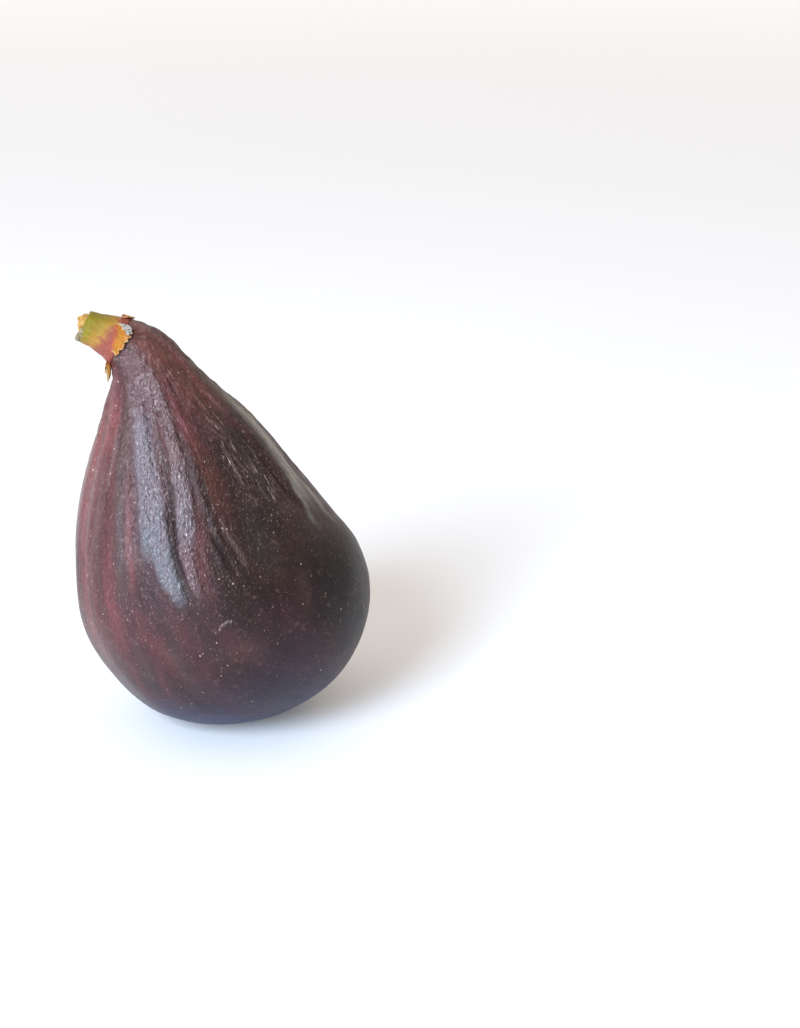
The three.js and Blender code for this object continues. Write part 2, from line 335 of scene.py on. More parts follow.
# strokes of colour: angle at the lower end, angle at the upper end, half width in degrees at the lower
# end and at the upper end, share low, share high, strength
skinPaint = {
    "blush": [
        (-48, -52, 24, 26, 0.36, 1.0, 0.38), (-49, -52, 14, 18, 0.76, 0.93, 0.85),
        (-63, -66, 9, 12, 0.56, 0.86, 0.75), (-56, -58, 8, 7, 0.38, 0.62, 0.6),
        (-78, -80, 9, 12, 0.6, 0.96, 0.6), (-36, -38, 5, 6, 0.4, 0.62, 0.62),
        (-21, -21.5, 3, 3, 0.53, 0.72, 0.7), (-19, -22, 8, 5, 0.3, 0.48, 0.3),
        (-6, -8, 5, 4, 0.32, 0.46, 0.25), (9, 5, 5, 3, 0.27, 0.38, 0.22),
        (-45, -36, 3.2, 3.0, 0.3, 0.42, 0.4), (-33, -22, 2.6, 2.8, 0.29, 0.38, 0.36),
        (-9, -1, 3.0, 2.6, 0.29, 0.37, 0.26), (-3, -3, 20, 24, 0.92, 1.02, 0.35),
        (76, 76, 14, 16, 0.88, 1.02, 0.35), (10, 18, 3, 3, 0.42, 0.62, 0.3),
        (27, 27, 6, 7, 0.76, 0.86, 0.6), (5.5, 6, 2.5, 2.5, 0.78, 0.84, 0.7),
        (190, 190, 78, 80, 0.3, 1.0, 0.22), (120, 122, 8, 13, 0.6, 0.94, 0.5),
        (163, 168, 9, 12, 0.5, 0.9, 0.6), (215, 212, 11, 15, 0.6, 0.95, 0.7),
        (252, 248, 9, 13, 0.44, 0.84, 0.7),
    ],
    "rust": [
        (52, 50, 26, 38, 0.78, 1.02, 1.0), (30, 28, 8, 9, 0.6, 0.86, 0.5),
        (-66, -60, 12, 24, 0.72, 1.02, 0.5), (150, 150, 30, 44, 0.76, 1.02, 0.9),
        (238, 240, 26, 32, 0.76, 1.02, 0.7),
    ],
    "umber": [
        (34, 32, 16, 14, 0.36, 0.74, 0.8), (58, 58, 18, 16, 0.36, 0.76, 1.0),
        (150, 150, 24, 18, 0.12, 0.6, 0.7), (205, 203, 16, 14, 0.2, 0.7, 0.6),
    ],
    # painted shade: darker low round the fruit near the floor, on the right shoulder and along the walls of
    # two grooves
    "inkAndPaintedShade": [
        (68, 66, 38, 26, 0.02, 0.34, 0.95), (6, 8, 28, 22, 0.1, 0.44, 0.34),
        (-24, -24, 20, 14, 0.16, 0.4, 0.14), (21, 22, 3, 3.5, 0.46, 0.78, 0.45),
        (3.4, 4.4, 2.1, 1.5, 0.46, 0.78, 0.78), (54, 54, 12, 12, 0.52, 0.72, 0.35),
        (44, 48, 14, 12, 0.46, 0.62, 0.4), (44, 44, 18, 16, 0.6, 0.86, 0.3),
        (-54, -54, 12, 10, 0.04, 0.18, 0.4), (170, 170, 40, 30, 0.02, 0.3, 0.5),
    ],
    # bluish bloom low on the fruit, partly a painted reflection of bluish light from below
    "blueBloomAndReflection": [
        (-48, -54, 36, 24, 0.0, 0.24, 0.9), (0, -8, 40, 30, 0.0, 0.2, 0.35),
        (-12, -12, 50, 40, 0.0, 0.1, 0.7), (-74, -76, 14, 12, 0.18, 0.36, 0.4),
        (250, 250, 50, 30, 0.0, 0.26, 0.7),
    ],
    "moss": [
        (-27, -29.5, 4, 6, 0.5, 0.86, 0.6), (-43, -45, 3.5, 3, 0.46, 0.7, 0.3),
        (40, 42, 7, 6, 0.4, 0.54, 0.45), (-52, -43, 4, 4, 0.28, 0.44, 0.4),
        (-40, -28, 3, 3, 0.28, 0.42, 0.45), (-20, -11, 3.5, 3.5, 0.27, 0.4, 0.4),
        (185, 187, 6, 6, 0.4, 0.7, 0.5),
    ],
    # mauve-grey skin, partly a painted highlight where the neck's front and a rib face the window
    "mauveAndHighlight": [
        (-4, -3, 20, 24, 0.8, 0.93, 0.95), (-4, -3, 22, 26, 0.9, 1.02, 0.5),
        (1.5, 0, 4, 6, 0.64, 0.84, 0.7), (-22, -24, 7, 8, 0.56, 0.84, 0.45),
        (9.5, 15.5, 4.8, 5.4, 0.57, 0.92, 1.0), (7, 9.3, 1.8, 4.8, 0.45, 0.6, 0.9),
        (187, 192, 7, 12, 0.5, 0.94, 0.6), (135, 138, 6, 9, 0.52, 0.9, 0.6),
    ],
    # waxy bloom, partly a painted highlight of the window on the ribs
    "bloomAndHighlight": [
        (-6.6, -10.6, 7.6, 8.0, 0.57, 0.84, 1.0), (-0.3, -6.0, 2.8, 7.2, 0.46, 0.6, 0.95),
        (9.5, 12.2, 4.6, 4.2, 0.57, 0.72, 0.55), (232, 230, 2.4, 7, 0.5, 0.84, 0.45),
    ],
    # pale powdery bloom, partly a painted sheen along the right and left edges
    "dustAndSheen": [
        (82, 99, 5, 12, 0.46, 0.8, 0.95), (74, 82, 1.6, 2.6, 0.4, 0.58, 0.75),
        (88, 92, 2.2, 4, 0.36, 0.52, 0.7), (272, 270, 14, 12, 0.46, 0.8, 0.28),
        (-60, -60, 9, 9, 0.22, 0.44, 0.22),
    ],
    # painted sheen: pale rose along the left side, at the neck's upper right and in a few places on the back
    "paintedSheen": [
        (-58, -58, 7, 7, 0.62, 0.92, 0.35), (-45, -46, 3, 3, 0.6, 0.78, 0.2),
        (84, 84, 13, 16, 0.92, 1.04, 0.45), (-84, -84, 13, 11, 0.38, 0.84, 0.5),
        (-57, -56, 2.2, 2.6, 0.58, 0.78, 0.4), (140, 140, 12, 12, 0.5, 0.84, 0.4),
    ],
    # painted shade inside the grooves
    "paintedCreaseShade": [
        (5.2, 7.2, 1.6, 2.2, 0.77, 0.85, 0.8), (3.0, 2.4, 1.2, 1.0, 0.46, 0.74, 0.4),
        (20, 19, 1.2, 1.2, 0.52, 0.7, 0.5),
    ],
    # where the skin is drawn into fine crossing wrinkles
    "wrinkled": [
        (62, 56, 9, 9, 0.54, 0.8, 1.0), (47, 45, 5, 5, 0.58, 0.76, 0.6),
        (30, 31, 2.5, 2.5, 0.44, 0.58, 0.6), (-57, -56, 3.5, 3.5, 0.58, 0.8, 0.7),
        (-40, -40, 2.5, 2.5, 0.7, 0.82, 0.6), (110, 112, 10, 12, 0.6, 0.88, 0.8),
        (225, 222, 10, 12, 0.6, 0.88, 0.8),
    ],
}
# how sharply a colour's sides end, and the share over which its ends fade
paintEdges = {"bloomAndHighlight": (6, 0.03), "mauveAndHighlight": (6, 0.03), "dustAndSheen": (3.0, 0.09)}
softEdge = (2.2, 0.08)

# one small healed nick, a pale arc; radius and width in mm
skinScar = {"angle": 10, "share": 0.340, "radius": 1.6, "width": 0.09}


def fruitOutline(plan):
    outline = [(radius * plan["eyeRadius"], depth * plan["eyeDepth"]) for radius, depth in plan["eyePit"]]
    firstTurn = math.asin(plan["eyeRadius"] / plan["bellyRadius"])
    turns = np.linspace(firstTurn, math.pi / 2, plan["capRings"])
    alongs = list(plan["bellyAlong"] * (1 - np.cos(turns)))
    alongs += list(np.linspace(plan["bellyAlong"], form.length, plan["bodyRings"] + 1)[1:])
    outline += [(float(form.plainRadius(along)), float(along)) for along in alongs]
    return outline + [(0.6 * outline[-1][0], form.length + 0.1), (0, form.length + 0.1)]


def strokeAmount(strokes, edge, angle, share, wander):
    # the strength of the strongest stroke at each point
    amount = np.zeros_like(share)
    power, fade = edge
    for lowAngle, highAngle, lowWidth, highWidth, low, high, strength in strokes:
        rise = np.clip((share - low) / (high - low), 0, 1)
        middle = lowAngle + (highAngle - lowAngle) * rise
        width = lowWidth + (highWidth - lowWidth) * rise
        across = np.exp(-np.abs((turnFrom(angle, middle) + wander) / width) ** power)
        ends = smoothStep(low - fade, low + fade, share) * smoothStep(high + fade, high - fade, share)
        amount = np.maximum(amount, strength * across * ends)
    return amount


def scarAmount(scar, angle, share, radius):
    # the upper half of a thin ring
    aside = np.radians(turnFrom(angle, scar["angle"])) * radius
    ahead = (share - scar["share"]) * form.length
    away = np.abs(np.hypot(aside, ahead) - scar["radius"])
    onArc = smoothStep(-0.2, 0.5, ahead) * smoothStep(1.5, 1.0, np.abs(aside))
    return np.exp(-(away / scar["width"]) ** 2) * onArc


def makeFruit():
    piece = spunMesh(fruitOutline(fruitForm), fruitForm["sides"], "fig_fruit")
    turned, angle, radius, along = roundPlaces(piece)
    share = along / form.length
    eye = fruitForm["eyeRadius"]
    outer = np.where(share < 0.5, smoothStep(0.8 * eye, 1.25 * eye, radius), 1)  # 0 in the eye's pit
    creased, crest = creaseRelief(angle, share, form.plainRadius(along))
    height = skinHeight(along, angle) + creased
    for size, high, seed in skinRelief["lumps"]:
        height += high * grain(turned, size, seed)
    size, high, seed = skinRelief["neckLumps"]
    height += high * grain(turned, size, seed) * smoothStep(0.66, 0.84, share)
    # the rim of the eye swells a little and is drawn into small pleats
    rim = np.exp(-((radius - 1.2 * eye) / 1.1) ** 2) * (share < 0.1)
    pleats = 0.22 + 0.10 * np.sin(13 * angle) + 0.06 * np.sin(21 * angle + 1)
    placed = form.place(along - 0.25 * rim, angle, np.maximum(radius + outer * height + rim * pleats, 0))
    # the soft skin lies flat where it rests
    placed[:, 2] = (placed[:, 2] + np.hypot(placed[:, 2], skinRelief["restSoftness"])) / 2
    setCoords(piece.data, placed)
    paint(piece.data, "skinPlace", np.stack([np.sin(angle), np.cos(angle), share], axis=-1))
    paint(piece.data, "crest", crest)
    # the strokes' sides wander a few degrees
    wander = 1.2 * grain(turned, 5, 21) + 0.9 * grain(turned, 1.6, 22)
    for name, strokes in skinPaint.items():
        paint(piece.data, name, strokeAmount(strokes, paintEdges.get(name, softEdge), angle, share, wander))
    paint(piece.data, "scar", scarAmount(skinScar, angle, share, radius))
    return piece


fruit = makeFruit()
print("fruit", len(fruit.data.polygons), "faces")


def fitToFrame(source):
    # from millimetres of the fig's own form to metres of the frame, by the fruit's two boxes
    coords = meshCoords(source.data)
    low, high = (np.array(corner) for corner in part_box("fruit"))
    stretch = (high - low) / (coords.max(0) - coords.min(0))
    return stretch, low - coords.min(0) * stretch


stretch, shift = fitToFrame(fruit)
print("frame fit", [round(float(s) / mm, 4) for s in stretch])


def intoFrame(piece):
    setCoords(piece.data, meshCoords(piece.data) * stretch + shift)
    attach(piece, "root")


intoFrame(fruit)
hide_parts("fruit")


class Wire:
    # an output of a node that plain arithmetic works on
    def __init__(self, socket):
        self.socket = socket

    def maths(self, operation, *values):
        node = self.socket.id_data.nodes.new("ShaderNodeMath")
        node.operation = operation
        for place, value in zip(node.inputs, values):
            plug(value, place)
        return Wire(node.outputs[0])

    def __add__(self, other):
        return self.maths("ADD", self, other)

    def __sub__(self, other):
        return self.maths("SUBTRACT", self, other)

    def __rsub__(self, other):
        return self.maths("SUBTRACT", other, self)

    def __mul__(self, other):
        return self.maths("MULTIPLY", self, other)

    __radd__ = __add__
    __rmul__ = __mul__

    def atLeast(self, other):
        return self.maths("MAXIMUM", self, other)

    def unsigned(self):
        return self.maths("ABSOLUTE", self)

    def rise(self, start, end):
        # smooth 0 to 1 as this goes from start to end
        node = self.socket.id_data.nodes.new("ShaderNodeMapRange")
        node.interpolation_type = "SMOOTHSTEP"
        for place, value in zip(node.inputs, (self, start, end, 0.0, 1.0)):
            plug(value, place)
        return Wire(node.outputs[0])


def plug(value, socket):
    if isinstance(value, Wire):
        socket.id_data.links.new(value.socket, socket)
    elif socket.type == "RGBA":
        socket.default_value = (*value, 1)
    else:
        socket.default_value = value


class Finish:
    # a material and the nodes that feed its Principled shader
    def __init__(self, name, **constants):
        self.material = bpy.data.materials.new(name)
        self.material.use_nodes = True
        self.tree = self.material.node_tree
        self.colour = None
        self.set(**constants)

    def set(self, **values):
        shader = self.tree.nodes["Principled BSDF"]
        for name, value in values.items():
            plug(value, shader.inputs[name.replace("_", " ")])

    def node(self, kind, settings, values, output=0):
        node = self.tree.nodes.new(kind)
        for name, value in settings.items():
            setattr(node, name, value)
        for place, value in values.items():
            plug(value, node.inputs[place])
        return Wire(node.outputs[output])

    def mix(self, first, second, share):
        return self.node("ShaderNodeMix", {"data_type": "RGBA"}, {0: share, 6: first, 7: second}, 2)

    def coat(self, colour, share):
        # lays a share of a colour over what is there
        self.colour = self.mix(self.colour, colour, share)

    def stretched(self, vector, factors):
        return self.node("ShaderNodeVectorMath", {"operation": "MULTIPLY"}, {0: vector, 1: factors})

    def shifted(self, vector, step):
        return self.node("ShaderNodeVectorMath", {"operation": "ADD"}, {0: vector, 1: step})

    def parts(self, vector):
        node = self.node("ShaderNodeSeparateXYZ", {}, {0: vector}).socket.node
        return [Wire(socket) for socket in node.outputs]

    def painted(self, name, output=2):
        return self.node("ShaderNodeAttribute", {"attribute_name": name}, {}, output)

    def objectPlace(self):
        return self.node("ShaderNodeTexCoord", {}, {}, 3)

    def noise(self, vector, scale, detail=3.0, rough=0.55):
        values = {"Vector": vector, "Scale": scale, "Detail": detail, "Roughness": rough}
        return self.node("ShaderNodeTexNoise", {}, values)

    def cells(self, vector, scale, output=0):
        return self.node("ShaderNodeTexVoronoi", {}, {"Vector": vector, "Scale": scale}, output)

    def chance(self, vector, scale, part):
        # a number from 0 to 1 for each cell, one of three
        return self.parts(self.cells(vector, scale, 1))[part]

    def slope(self, height, vector, scale, step, *quality):
        # how much higher a noise is here than one step away
        return height - self.noise(self.shifted(vector, step), scale, *quality)

    def bump(self, height, depth, under=None):
        # depth is in metres for a height of 1
        values = {"Height": height, "Distance": depth, "Strength": 1.0}
        if under is not None:
            values["Normal"] = under
        return self.node("ShaderNodeBump", {}, values)

    def close(self, roughness, normal):
        self.set(Base_Color=self.colour, Roughness=roughness, Normal=normal)
        return self

    def on(self, piece, slot):
        piece.data.materials.append(self.material)


skinLook = {
    "plum": (0.04, 0.018, 0.022),
    "umber": (0.022, 0.011, 0.008),
    # the colour of dark streaks and grain, and also of painted shade
    "inkAndPaintedShade": (0.008, 0.006, 0.007),
    "moss": (0.056, 0.054, 0.048),
    "rust": (0.205, 0.064, 0.046),
    "blush": (0.22, 0.053, 0.058),
    # mauve-grey, partly painted highlight
    "mauveAndHighlight": (0.19, 0.115, 0.118),
    # waxy bloom, partly painted highlight
    "bloomAndHighlight": (0.205, 0.17, 0.195),
    # a bluish painted reflection of the window
    "coolReflection": (0.15, 0.185, 0.21),
    # painted shade in dents
    "paintedDentShade": (0.072, 0.026, 0.036),
    # painted shade in the grooves
    "paintedCreaseShade": (0.085, 0.024, 0.02),
    "glint": (0.8, 0.74, 0.76),
    # bluish bloom, partly painted reflection
    "blueBloomAndReflection": (0.026, 0.042, 0.115),
    # pale bloom and painted sheen
    "dustAndSheen": (0.38, 0.385, 0.33),
    # painted sheen, pale rose
    "paintedSheen": (0.3, 0.19, 0.175),
    "pale": (0.55, 0.38, 0.33),
    "fleck": (0.17, 0.095, 0.075),
    "tip": (0.9, 0.68, 0.66),
    "roughness": 0.46, "bloomRoughness": 0.24,
    # how many of each noise's lumps or cells go to a metre
    "blots": 150, "mottles": 480, "pebbles": 1150, "beads": 2300, "grits": 2900, "lumps": 950,
    "tips": 950, "domes": 1700,
    "pores": (560, 900, 1350, 2100),
    "squat": (1, 1, 0.55),  # stretches beads and domes a little along the fruit
    # a step to the upper left, in metres, tells a lump's lit side from its dark one
    "beadStep": (-0.00013, -0.00004, 0.00009),
    "lumpStep": (-0.0003, -0.0001, 0.0003),
    # cells of the short marks, round the fruit and along it
    "dashes": (46, 46, 62),
    "glints": (66, 66, 72),
    "bumpDepth": 0.00022, "poreDepth": 0.00004,
}


def skinFinish(look):
    finish = Finish("figSkin", Specular_IOR_Level=0.26)
    spot = finish.objectPlace()
    place = finish.painted("skinPlace", 1)
    painted = {name: finish.painted(name) for name in skinPaint}
    share = finish.parts(place)[2]
    upper = share.rise(0.28, 0.52)
    broad = finish.noise(finish.stretched(place, (4.5, 4.5, 3.2)), 1, 4)
    blot = finish.noise(spot, look["blots"], 4, 0.6)
    mottle = finish.noise(spot, look["mottles"], 3, 0.65)
    pebble = finish.noise(spot, look["pebbles"], 2, 0.5)
    grit = finish.noise(spot, look["grits"], 2, 0.7)
    # lengthwise streaks and threads, which give way to plain noise at both ends
    streak = finish.noise(finish.stretched(place, (9, 9, 4)), 1, 4, 0.55)
    lengthwise = upper * share.rise(1.0, 0.80)
    streak = streak * lengthwise + blot * (1 - lengthwise)
    thread = finish.noise(finish.stretched(place, (42, 42, 18)), 1, 3)
    thread = thread * lengthwise + pebble * (1 - lengthwise)

    # the ground colour, then the painted colours over it, most of them broken up by the noises
    finish.colour = finish.mix(look["plum"], look["umber"], (broad + painted["umber"] * 0.6).rise(0.42, 0.80))
    finish.coat(look["inkAndPaintedShade"], streak.rise(0.56, 0.36) * (1 - painted["blush"]) * 0.24)
    finish.coat(look["rust"], painted["rust"] * (mottle * 0.5 + streak * 0.3).rise(0.15, 0.60))
    worn = (streak * 0.6 + mottle * 0.7).rise(0.42, 0.85)
    finish.coat(look["blush"], painted["blush"] * (worn * 0.45 + 0.55) + worn * 0.06)
    # painted sheen
    finish.coat(look["paintedSheen"], painted["paintedSheen"] * (mottle * 0.6 + 0.4))
    finish.coat(look["moss"], painted["moss"] * (worn * 0.5 + 0.5))
    patchy = (thread * 0.4 + mottle * 0.3 + pebble * 0.3).rise(0.30, 0.62)
    # mauve-grey skin with painted shade in its dents, partly a painted highlight
    mauveAndHighlight = finish.mix(look["mauveAndHighlight"], look["paintedDentShade"], (pebble * 0.6 + mottle * 0.4).rise(0.53, 0.39) * 0.7)
    finish.coat(mauveAndHighlight, painted["mauveAndHighlight"] * (patchy * 0.25 + 0.60))
    # bluer patches low in the bands, a painted reflection of the window
    coolerReflection = (blot * 0.6 + streak * 0.4).rise(0.42, 0.58) * share.rise(0.70, 0.58) * 0.9
    waxyHighlight = finish.mix(look["bloomAndHighlight"], look["coolReflection"], coolerReflection)
    # the bands of waxy bloom, partly a painted highlight of the window on the ribs
    finish.coat(waxyHighlight, painted["bloomAndHighlight"] * (patchy * 0.20 + 0.70))
    # painted shade inside the grooves
    finish.coat(look["paintedCreaseShade"], painted["paintedCreaseShade"] * (mottle.rise(0.35, 0.55) * 0.4 + 0.6))
    # bluish bloom low down, partly a painted reflection of bluish light from below
    finish.coat(look["blueBloomAndReflection"], painted["blueBloomAndReflection"] * (blot.rise(0.30, 0.70) * 0.4 + 0.6))
    # painted shade on the lower skin, the right shoulder and two groove walls
    finish.coat(look["inkAndPaintedShade"], painted["inkAndPaintedShade"])
    # pale bloom, partly a painted sheen along the edges
    dustAndSheenBreakup = (streak * 0.6 + thread * 0.2 + mottle * 0.4).rise(0.36, 0.70) * 0.8 + patchy * 0.2
    finish.coat(look["dustAndSheen"], painted["dustAndSheen"] * dustAndSheenBreakup)

    # crossing wrinkles with painted highlights along their crests, and short pale dashes along the fruit that
    # are painted glints
    line = finish.noise(finish.stretched(place, (15, 15, 8.5)), 1, 2) - 0.5
    line = line.unsigned().rise(0.022, 0.004) * mottle.rise(0.36, 0.50)
    wrinkle = line * painted["wrinkled"].rise(0.25, 0.60)
    dashPlace = finish.stretched(place, look["dashes"])
    dashed = finish.chance(dashPlace, 1, 0).rise(0.45, 1.0)
    dashGlint = finish.cells(dashPlace, 1).rise(0.23, 0.08) * dashed * upper
    # the finest lengthwise glints, painted highlights that are dense on the bands of bloom and highlight and
    # few elsewhere
    waxAndHighlight = painted["bloomAndHighlight"].atLeast(painted["mauveAndHighlight"])
    glintPlace = finish.stretched(place, look["glints"])
    fewer = 0.70 - waxAndHighlight * 0.45
    glinted = finish.chance(glintPlace, 1, 2).rise(fewer, 1.0) * (waxAndHighlight * 0.60 + 0.28)
    glint = finish.cells(glintPlace, 1).rise(0.36, 0.12) * glinted * upper
    glintColour = finish.mix(look["pale"], look["glint"], waxAndHighlight)
    # beads of the skin, each with a painted highlight to the upper left and painted shade to the lower right
    squatPlace = finish.stretched(spot, look["squat"])
    bead = finish.noise(squatPlace, look["beads"], 2, 0.6)
    beadSlope = finish.slope(bead, squatPlace, look["beads"], look["beadStep"], 2, 0.6)
    uneven = (streak * 0.5 + mottle * 0.5).rise(0.38, 0.58) * 0.55 + 0.55
    beaded = (waxAndHighlight * 0.65 + 0.35) * upper * uneven * (1 - share.rise(0.84, 0.94) * 0.45)
    # and the larger lumps of the neck, painted the same way
    lump = finish.noise(spot, look["lumps"], 2)
    lumpSlope = finish.slope(lump, spot, look["lumps"], look["lumpStep"], 2)
    neck = share.rise(0.78, 0.90)
    # small uneven pale flecks, a little fewer on the upper part
    fleck = pebble.rise(0.56, 0.70) * mottle.rise(0.46, 0.62) * (1 - upper * 0.3)
    fleck = fleck + blot.rise(0.55, 0.70) * 0.3
    # pale pores of several sizes
    pore = dashGlint * 0
    for perMetre in look["pores"]:
        chance = finish.chance(spot, perMetre, 1).rise(0.40, 1.0)
        pore = pore.atLeast(finish.cells(spot, perMetre).rise(chance * 0.07 + 0.04, chance * 0.05) * chance)
    # pale wrinkle lines and dashes as painted highlights, and paler raised crests, partly painted highlight
    finish.coat(look["pale"], wrinkle * 0.70 + dashGlint * 0.65 + finish.painted("crest") * 0.12)
    finish.coat(look["fleck"], fleck * 0.35)
    # painted shade on the lower right side of each bead and neck lump
    neckLumpShade = lumpSlope.rise(-0.03, -0.16) * neck * (waxAndHighlight * 0.25 + 0.25)
    finish.coat(look["paintedDentShade"], (beadSlope.rise(-0.03, -0.16) * beaded * 0.55).atLeast(neckLumpShade))
    # painted highlight on the upper left side of each bead and neck lump, and the painted glints
    lit = beadSlope.rise(0.06, 0.24) * beaded * 0.34 + lumpSlope.rise(0.05, 0.22) * neck * 0.14
    finish.coat(glintColour, lit.atLeast(glint))
    # a few bright drops of light on the tips of the beads, faintest where the skin is dark
    tipPlace = finish.stretched(spot, (1, 1, 0.5))
    tipped = finish.chance(tipPlace, look["tips"], 2).rise(0.25, 0.95)
    tip = finish.cells(tipPlace, look["tips"]).rise(tipped * 0.09 + 0.07, 0.05) * tipped * upper
    light = painted["blush"].atLeast(waxAndHighlight).atLeast(painted["rust"])
    finish.coat(look["tip"], tip * (light * 0.75 + 0.20))
    # pores and the nick, and grain over all
    finish.coat(look["pale"], pore.atLeast(finish.painted("scar") * 0.5))
    finish.coat(look["pale"], grit.rise(0.58, 0.80) * 0.12)
    finish.coat(look["inkAndPaintedShade"], grit.rise(0.44, 0.26) * 0.45)

    dull = look["roughness"] + (broad * 0.2 + streak * 0.25 + mottle * 0.2).rise(0.25, 0.45) * 0.12 - 0.06
    roughness = dull - waxAndHighlight * (look["roughness"] - look["bloomRoughness"])
    dome = finish.cells(squatPlace, look["domes"]).rise(0.70, 0.0)
    height = grit * 0.4 + pebble * (waxAndHighlight * 0.4 + upper * 0.3 + 0.15) + bead * beaded * 2.2
    height = height + dome * waxAndHighlight * 0.5 + mottle * (upper * 0.7 + waxAndHighlight * 0.6 + 0.15)
    height = height + lump * neck * 1.6 + thread * upper * 0.35 + dashGlint * 0.6 + glint + wrinkle * 1.6
    relief = finish.bump(height, look["bumpDepth"])
    return finish.close(roughness, finish.bump(pore, look["poreDepth"], relief))


skinFinish(skinLook).on(fruit, "skin")
print("skin finish made")

stemForm = {
    "length": 6.5,
    "direction": (-0.92, 0.39),  # of the free end, in x and z
    "baseRadius": 3.95,
    "tipRadius": 2.65,
    "woodRadius": 1.65,
    # radius as a share of the base's, at shares of the length
    "girth": [(0, 1.0), (0.06, 1.01), (0.16, 0.955), (0.42, 0.83), (0.68, 0.73), (0.9, 0.68)],
    # the cut's rim and the hollow round the wood: radius as a share of the tip's, height over the end
    "cut": [(0.985, 0.10), (0.95, 0.14), (0.88, 0.06), (0.80, -0.06), (0.72, -0.12)],
    # the same for the wood, with its own radius
    "wood": [(1.0, -0.12), (0.98, 0.1), (0.97, 0.3), (0.95, 0.5), (0.9, 0.66), (0.8, 0.78), (0.65, 0.84),
             (0.45, 0.9), (0.25, 0.95), (0, 1.0)],
    "woodLift": 0.45,  # the wood sits above the middle of the cut
    "sides": 120,
    "rings": 46,
    "ridges": 7,
    "ridgeHeight": 0.10,
}


class StemForm:
    # a short curve that leaves the neck squarely and bends to the stem's own direction
    def __init__(self, plan):
        start = form.place(np.array(form.length), 0.0, 0.0)
        lean = form.lean[-1]
        middle = start + 0.35 * plan["length"] * np.array([-math.sin(lean), 0, math.cos(lean)])
        end = start + plan["length"] * np.array([plan["direction"][0], 0, plan["direction"][1]])
        t = np.linspace(0, 1, 200)[:, None]
        self.line = (1 - t) ** 2 * start + 2 * t * (1 - t) * middle + t**2 * end
        walked = np.cumsum(np.linalg.norm(np.diff(self.line, axis=0), axis=1))
        self.along = np.concatenate([[0], walked])
        self.length = self.along[-1]

    def place(self, along, angle, radius):
        inside = np.clip(along, 0, self.length)
        x, z = (np.interp(inside, self.along, self.line[:, i]) for i in (0, 2))
        # the lean is read between two points close by
        near = (np.maximum(inside - 0.1, 0), np.minimum(inside + 0.1, self.length))
        (behindX, aheadX), (behindZ, aheadZ) = (
            [np.interp(where, self.along, self.line[:, i]) for where in near] for i in (0, 2))
        lean = np.arctan2(behindX - aheadX, aheadZ - behindZ)
        return offAxis(x, z, lean, along - inside, angle, radius)


stemLine = StemForm(stemForm)


def makeStem(plan):
    length, base, tip, wood = stemLine.length, plan["baseRadius"], plan["tipRadius"], plan["woodRadius"]
    girth = plan["girth"] + [(1, tip / base)]
    # the foot that is sunk into the neck, the bark, the rim of the cut and the wood
    outline = [(0, -0.5), (0.6 * base, -0.5), (0.86 * base, -0.45), (0.97 * base, -0.2)]
    for share in np.linspace(0, 1, plan["rings"]):
        outline.append((base * float(np.interp(share, *zip(*girth))), share * length))
    outline += [(tip * radius, length + height) for radius, height in plan["cut"]]
    outline += [(wood * radius, length + height) for radius, height in plan["wood"]]
    piece = spunMesh(outline, plan["sides"], "fig_stem")
    turned, angle, radius, along = roundPlaces(piece)
    share = np.clip(along / length, 0, 1.3)
    isWood = (along > length - 0.13) & (radius < 1.02 * wood)
    bark = smoothStep(0.3, 0.7, radius / tip) * ~isWood
    ridge = plan["ridgeHeight"] * np.sin(plan["ridges"] * angle + 1.5 * np.sin(2 * angle))
    rough = 0.10 * grain(turned, 1.6, 31) + 0.05 * grain(turned, 0.6, 32)
    # the lower side of the foot hangs a little proud of the neck
    heel = 0.55 * np.exp(-(turnFrom(angle, -95) / 50) ** 2) * smoothStep(0.30, 0.02, share) * (along > -0.1)
    radius = radius + bark * (ridge * smoothStep(0, 0.3, share) + rough + heel)
    # the cut is a little oblique, its rim is ragged and the wood is torn into a lump near the upper side
    torn = grain(np.stack([np.cos(angle) * radius, np.sin(angle) * radius, 0 * along], -1), 0.9, 33)
    atCut = smoothStep(0.93, 1.0, share)
    along = along + atCut * (np.where(isWood, 0.35, 0.22) * torn - 0.45 * np.sin(angle) * radius / tip)
    woodHigh = smoothStep(0.2, 0.9, (along - length)) * isWood
    along = along + woodHigh * (0.25 * torn + 0.35 * np.sin(angle))
    radius = radius * np.where(isWood, 1 + 0.10 * np.sin(3 * angle + 0.7) + 0.12 * torn, 1)
    placed = stemLine.place(along, angle, np.maximum(radius, 0))
    lift = np.where(isWood, plan["woodLift"], 0)
    lean = math.atan2(-plan["direction"][0], plan["direction"][1])
    placed[:, 0] += lift * math.cos(lean)
    placed[:, 2] += lift * math.sin(lean)
    setCoords(piece.data, placed)
    paint(piece.data, "stemPlace", np.stack([np.sin(angle), np.cos(angle), share], axis=-1))
    paint(piece.data, "wood", isWood.astype(float))
    dried = smoothStep(0.84, 0.98, share) * ~isWood * smoothStep(0.7, -0.3, np.sin(angle) + 0.4 * torn)
    paint(piece.data, "dried", dried)
    return piece


stem = makeStem(stemForm)
intoFrame(stem)
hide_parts("stem")

stemLook = {
    "green": (0.235, 0.18, 0.01),
    "orange": (0.37, 0.19, 0.028),
    "coral": (0.27, 0.066, 0.043),
    "dried": (0.3, 0.24, 0.12),
    "driedDark": (0.05, 0.038, 0.022),
    "wood": (0.58, 0.33, 0.1),
    "roughness": 0.55,
    "mottles": 900,  # to a metre, as for the skin
    "grits": 4200, "bumpDepth": 0.0002,
}


